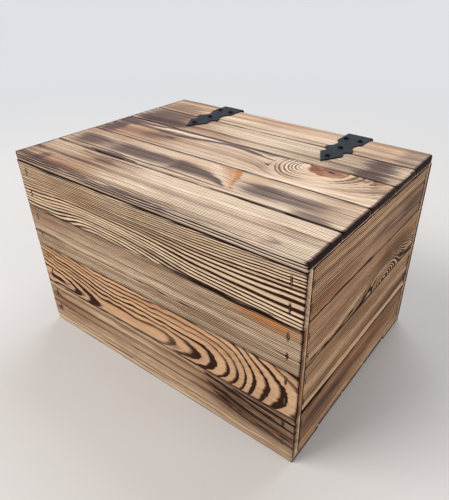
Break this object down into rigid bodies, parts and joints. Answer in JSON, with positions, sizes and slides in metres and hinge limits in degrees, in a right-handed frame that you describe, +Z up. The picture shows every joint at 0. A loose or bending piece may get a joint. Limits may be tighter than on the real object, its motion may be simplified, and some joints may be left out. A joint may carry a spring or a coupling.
{
  "type": "kindling box",
  "caption": "Lidded box of scorched and brushed planks that keeps kindling beside a stove, with corner posts, a slatted bottom and a flat lid on black strap hinges.",
  "frame": {"origin": "centre of the underside, on the surface the box stands on", "axes": "+X to the right along the front, +Y to the hinge side at the back, +Z up"},
  "size_m": [0.4004, 0.2976, 0.2558],
  "materials": {
    "wall_wood": "scorched and wire-brushed pine, raised grain, matt",
    "lid_wood": "scorched and wire-brushed pine, raised grain, matt",
    "bottom_wood": "lightly scorched pine, matt",
    "plain_wood": "planed pine, unfinished, matt",
    "hinge_steel": "black powder coat, satin",
    "staple_wire": "galvanised wire, darkened by the flame"
  },
  "bodies": {
    "box": {"front_plank_1": "wall_wood", "front_plank_2": "wall_wood", "front_plank_3": "wall_wood", "front_plank_4": "wall_wood", "back_plank_1": "wall_wood", "back_plank_2": "wall_wood", "back_plank_3": "wall_wood", "back_plank_4": "wall_wood", "left_plank_1": "wall_wood", "left_plank_2": "wall_wood", "left_plank_3": "wall_wood", "left_plank_4": "wall_wood", "right_plank_1": "wall_wood", "right_plank_2": "wall_wood", "right_plank_3": "wall_wood", "right_plank_4": "wall_wood", "post_front_left": "plain_wood", "post_front_right": "plain_wood", "post_back_left": "plain_wood", "post_back_right": "plain_wood", "bottom_slat_1": "bottom_wood", "bottom_slat_2": "bottom_wood", "bottom_slat_3": "bottom_wood", "bottom_slat_4": "bottom_wood", "bottom_slat_5": "bottom_wood", "front_staples": "staple_wire", "back_staples": "staple_wire", "left_staples": "staple_wire", "right_staples": "staple_wire", "bottom_staples": "staple_wire", "hinge_leaf_left": "hinge_steel", "hinge_leaf_right": "hinge_steel", "hinge_pin_left": "hinge_steel", "hinge_pin_right": "hinge_steel", "leaf_screws_left": "hinge_steel", "leaf_screws_right": "hinge_steel"},
    "lid": {"lid_board_1": "lid_wood", "lid_board_2": "lid_wood", "lid_board_3": "lid_wood", "lid_board_4": "lid_wood", "lid_board_5": "lid_wood", "lid_batten_left": "plain_wood", "lid_batten_right": "plain_wood", "lid_staples": "staple_wire", "hinge_strap_left": "hinge_steel", "hinge_strap_right": "hinge_steel", "strap_screws_left": "hinge_steel", "strap_screws_right": "hinge_steel"}
  },
  "joints": [
    {"name": "lid_open", "type": "hinge", "parent": "box", "child": "lid", "pos_m": [0, 0.14885, 0.25055], "axis": [-1, 0, 0], "range_deg": [0, 230]}
  ]
}
